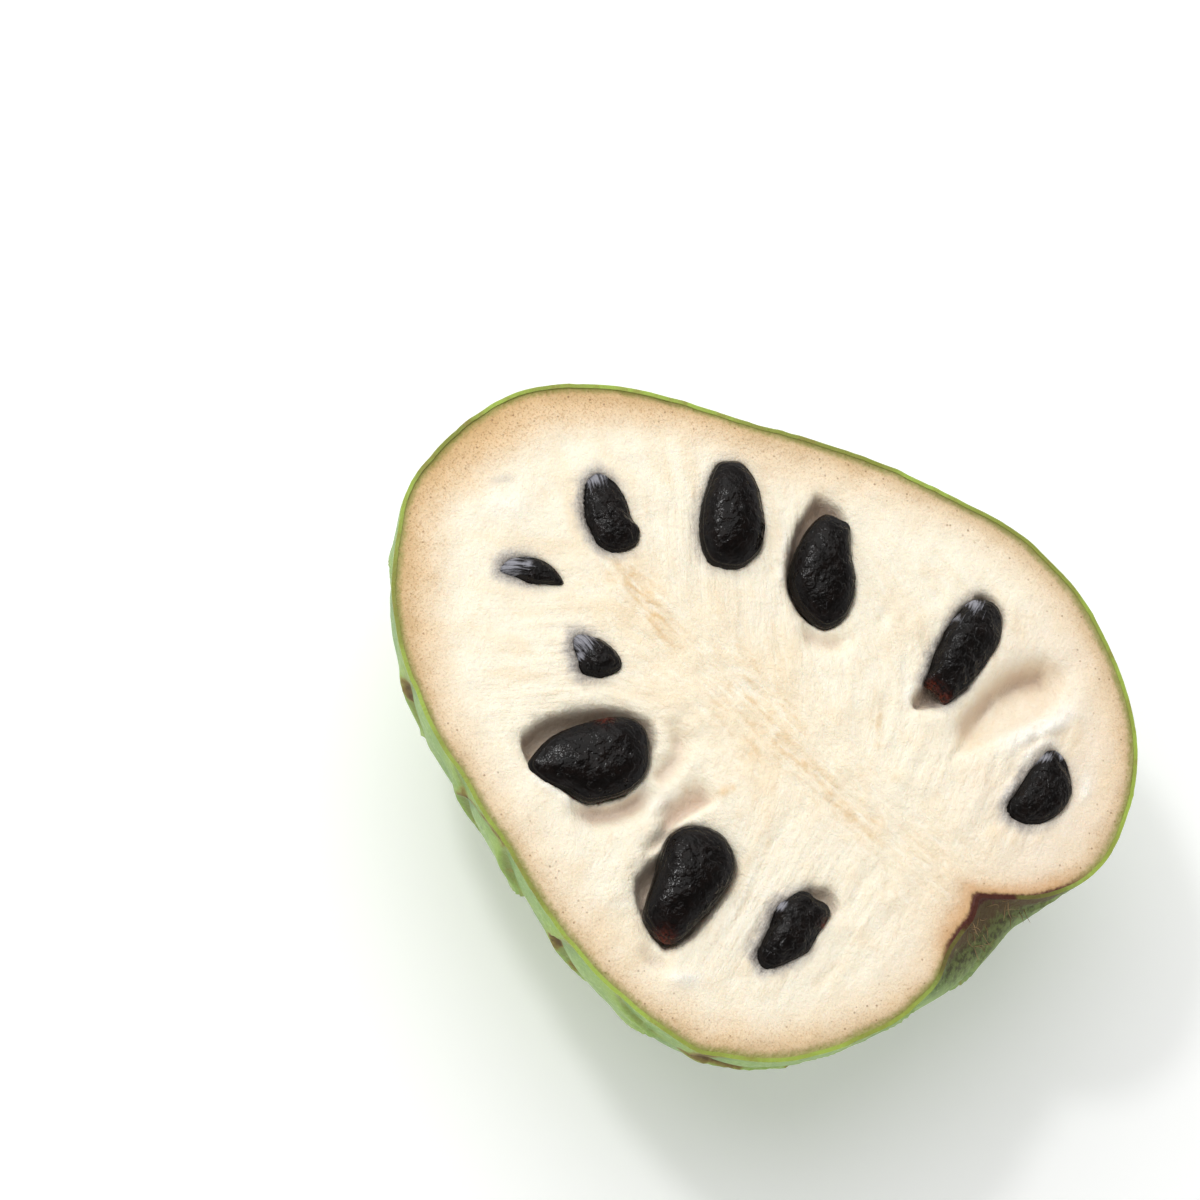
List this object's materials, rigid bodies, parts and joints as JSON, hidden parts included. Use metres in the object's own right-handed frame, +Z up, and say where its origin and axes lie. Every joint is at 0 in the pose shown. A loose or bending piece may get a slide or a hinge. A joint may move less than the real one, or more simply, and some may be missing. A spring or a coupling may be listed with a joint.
{
  "type": "custard apple half",
  "caption": "Half of a custard apple cut lengthwise, creamy flesh with dark seeds in their sockets, lying on its scaly green back.",
  "frame": {"origin": "middle of the flat spot on the back that the half rests on", "axes": "+Z up, square to the cut face; +X along the fruit's axis to the stem end, -X to the blossom tip; +Y across the face"},
  "size_m": [0.1188, 0.0989, 0.0489],
  "materials": {
    "flesh": "moist cream-white fruit flesh, fibrous at the core and tan next to the rind",
    "rind": "satin green skin with raised yellow-green areole borders and brown scars",
    "seed_coat": "wet glossy black, wrinkled and pitted, with torn grey-white film on some"
  },
  "bodies": {
    "root": {"half_fruit": "flesh", "seed_1": "seed_coat", "seed_2": "seed_coat", "seed_3": "seed_coat", "seed_4": "seed_coat", "seed_5": "seed_coat", "seed_6": "seed_coat", "seed_7": "seed_coat", "seed_8": "seed_coat", "seed_9": "seed_coat", "seed_10": "seed_coat"}
  },
  "joints": []
}
